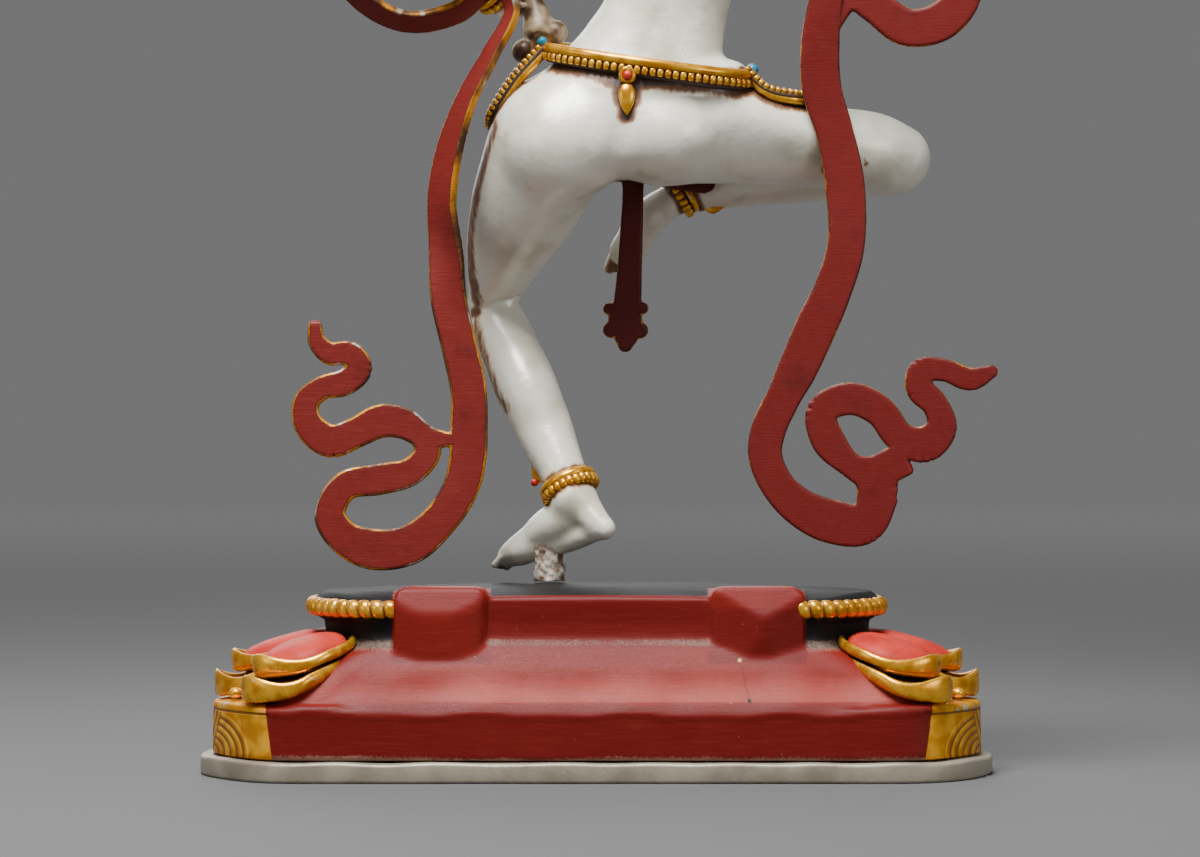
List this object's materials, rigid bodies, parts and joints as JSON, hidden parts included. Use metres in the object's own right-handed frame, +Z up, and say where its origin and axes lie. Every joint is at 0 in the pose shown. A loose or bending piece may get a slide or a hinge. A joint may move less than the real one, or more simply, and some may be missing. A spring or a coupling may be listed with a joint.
{
  "type": "machig labdron statue",
  "caption": "Dancing white female figure in painted cast copper with red scarves, on an oval lotus base; stands on a shelf or altar.",
  "frame": {"origin": "middle of the base plate's underside, on the surface that the statue stands on", "axes": "+Z up; the figure faces -Y; +X is the figure's left"},
  "size_m": [0.2535, 0.1219, 0.37],
  "materials": {
    "silver_plate": "silver-grey sheet metal, satin",
    "red_lacquer": "maroon paint on cast copper, satin, brushed",
    "pearl_skin": "pearly off-white paint on cast copper, satin, brown in the hollows",
    "scarf_red": "maroon paint with gilt edges, satin",
    "bone_white": "bone-coloured paint, satin",
    "drum_green": "green paint with gilt rims, satin",
    "coral_stone": "coral red, polished",
    "turquoise_stone": "turquoise, polished",
    "gold": "warm gilding, polished, brown-black in the hollows",
    "black_ground": "charcoal black paint, satin",
    "petal_coral": "coral red paint, matt",
    "black_hair": "black paint, satin"
  },
  "bodies": {
    "root": {"base_plate": "silver_plate", "lotus_base": "red_lacquer", "figure": "pearl_skin", "left_scarf": "scarf_red", "right_scarf": "scarf_red", "apron_and_sash": "scarf_red", "thighbone_trumpet": "bone_white", "hand_drum": "drum_green", "coral_cabochon_back": "coral_stone", "turquoise_bead_left": "turquoise_stone", "turquoise_bead_right": "turquoise_stone", "coral_cabochon_front": "coral_stone", "coral_cabochon_crown": "coral_stone"}
  },
  "joints": []
}
